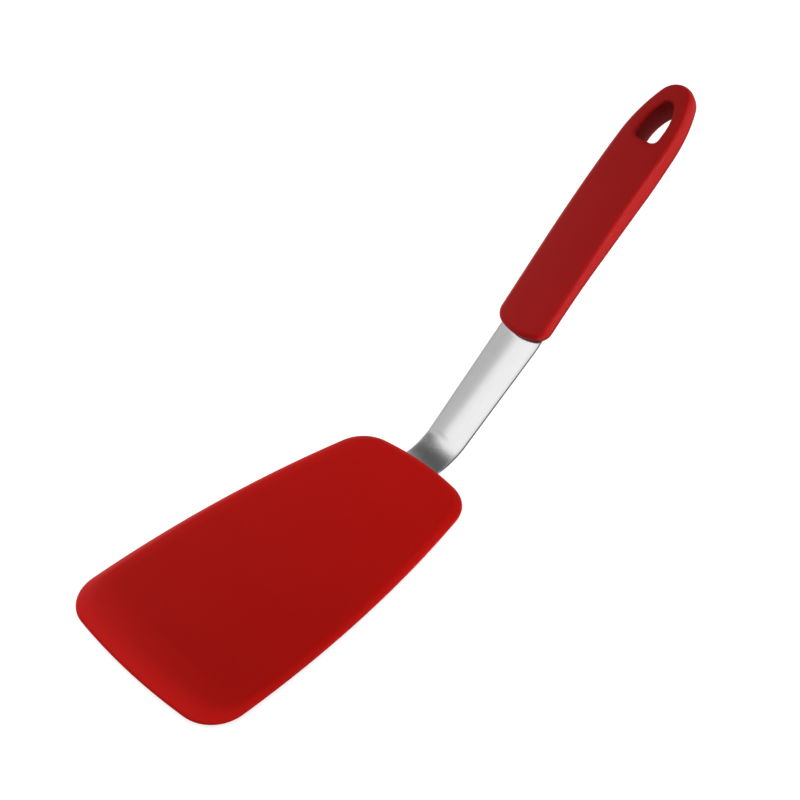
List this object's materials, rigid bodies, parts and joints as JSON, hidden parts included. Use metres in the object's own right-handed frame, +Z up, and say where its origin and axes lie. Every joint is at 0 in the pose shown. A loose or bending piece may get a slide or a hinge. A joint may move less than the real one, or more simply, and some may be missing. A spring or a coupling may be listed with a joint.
{
  "type": "silicone spatula",
  "caption": "Flexible silicone turner with a broad bowed blade on a bent steel shank and a soft arched grip with a hang hole, for lifting and flipping food in coated pans.",
  "frame": {"origin": "middle of the whole length and width, on the surface that the blade's underside lies on", "axes": "+X from the blade's front edge towards the end of the handle, +Z up off the blade's face, Y across the blade"},
  "size_m": [0.2896, 0.0822, 0.1072],
  "materials": {
    "blade_silicone": "satin red silicone",
    "grip_silicone": "satin red silicone",
    "shank_steel": "fine satin polish",
    "plate_steel": "mill finish",
    "core_plastic": "moulded black nylon"
  },
  "bodies": {
    "root": {"silicone_blade": "blade_silicone", "blade_core_plate": "plate_steel", "shank": "shank_steel", "handle_core": "core_plastic", "handle_grip": "grip_silicone"}
  },
  "joints": []
}
